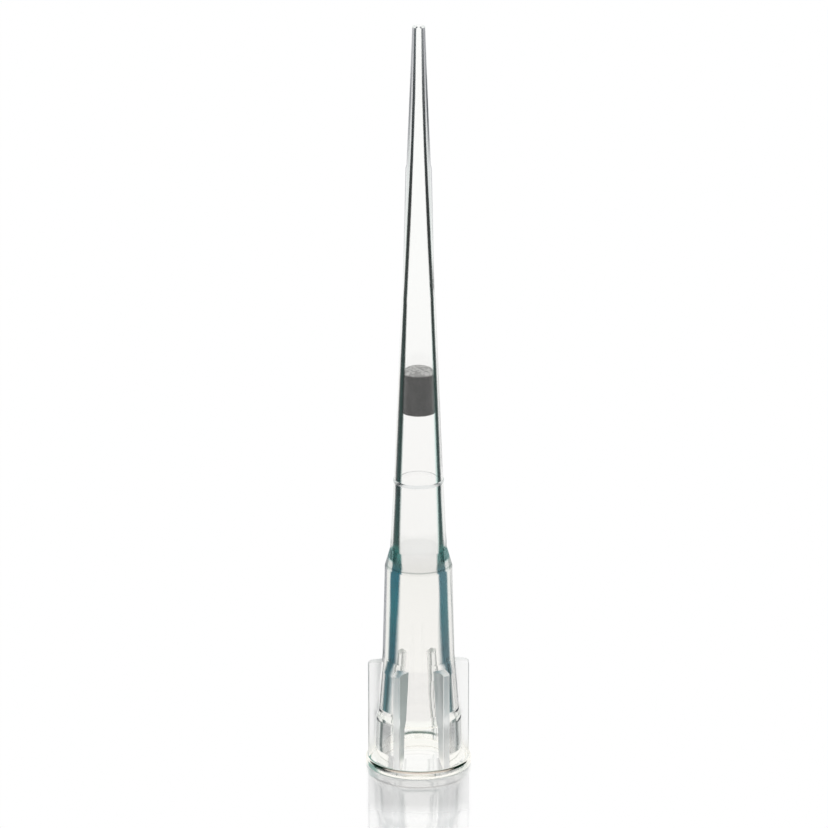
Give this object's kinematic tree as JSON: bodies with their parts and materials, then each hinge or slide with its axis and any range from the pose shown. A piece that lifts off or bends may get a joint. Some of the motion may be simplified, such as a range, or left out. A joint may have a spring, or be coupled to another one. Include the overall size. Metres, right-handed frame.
{
  "type": "pipette tip",
  "caption": "Clear disposable filter pipette tip: a slender stepped taper with a flanged, finned socket and a porous plug pressed into its bore.",
  "frame": {"origin": "centre of the face of the open rim that the tip stands on, where the bore's axis meets it", "axes": "+Z along the bore, from the open rim up to the fine point; +X through the middle of one fin"},
  "size_m": [0.0074, 0.0074, 0.054],
  "materials": {
    "clear_plastic": "clear moulded polypropylene with a smooth glossy surface",
    "porous_filter": "matte grey sintered porous polyethylene with a fine open grain"
  },
  "bodies": {
    "root": {"tip_body": "clear_plastic", "filter_plug": "porous_filter"}
  },
  "joints": []
}
